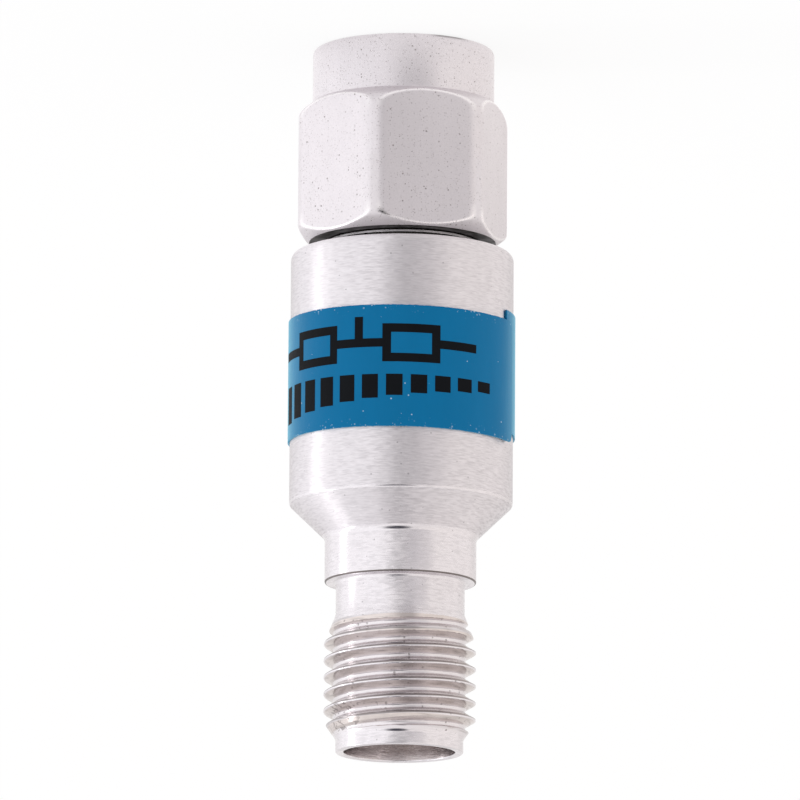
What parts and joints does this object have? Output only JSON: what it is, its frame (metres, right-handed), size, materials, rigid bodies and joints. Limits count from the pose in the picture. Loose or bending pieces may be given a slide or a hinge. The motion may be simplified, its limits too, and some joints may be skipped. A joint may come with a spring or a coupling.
{
  "type": "rf attenuator",
  "caption": "Coaxial attenuator: turned steel barrel with a label, a pin plug with a captive hexagon coupling nut at one end and a threaded jack at the other.",
  "frame": {"origin": "centre of the nut's front face, on which the part stands", "axes": "+Z along the axis towards the jack; -Y towards the front of the label"},
  "size_m": [0.0094, 0.0094, 0.0297],
  "materials": {
    "turned_steel": "turned stainless steel, satin",
    "nut_steel": "stainless steel, matt flats",
    "label_film": "printed film, satin",
    "spring_bronze": "spring bronze, bare",
    "gasket_silicone": "soft silicone, matt",
    "gold_plate": "gold plate, bright",
    "insulator": "white fluoropolymer, matt",
    "carrier_brass": "turned brass, bare",
    "alumina": "fired ceramic, matt",
    "resistor_ink": "fired resistor ink, satin",
    "silver_ink": "fired silver ink, satin"
  },
  "bodies": {
    "barrel": {"housing": "turned_steel", "label": "label_film", "plug_shell": "turned_steel", "nut_gasket": "gasket_silicone", "plug_pin": "gold_plate", "plug_dielectric": "insulator", "jack_socket": "gold_plate", "jack_dielectric": "insulator", "carrier_front": "carrier_brass", "carrier_back": "carrier_brass", "chip_substrate": "alumina", "resistor_film": "resistor_ink", "end_pads": "silver_ink", "ground_pads": "silver_ink"},
    "ring": {"snap_ring": "spring_bronze"},
    "nut": {"coupling_nut": "nut_steel"}
  },
  "joints": [
    {"name": "nut_float", "type": "slide", "parent": "barrel", "child": "ring", "axis": [0, 0, -1], "range_m": [0, 0.00035]},
    {"name": "nut_spin", "type": "hinge", "parent": "ring", "child": "nut", "pos_m": [0, 0, 0.004], "axis": [0, 0, 1], "continuous": true}
  ]
}
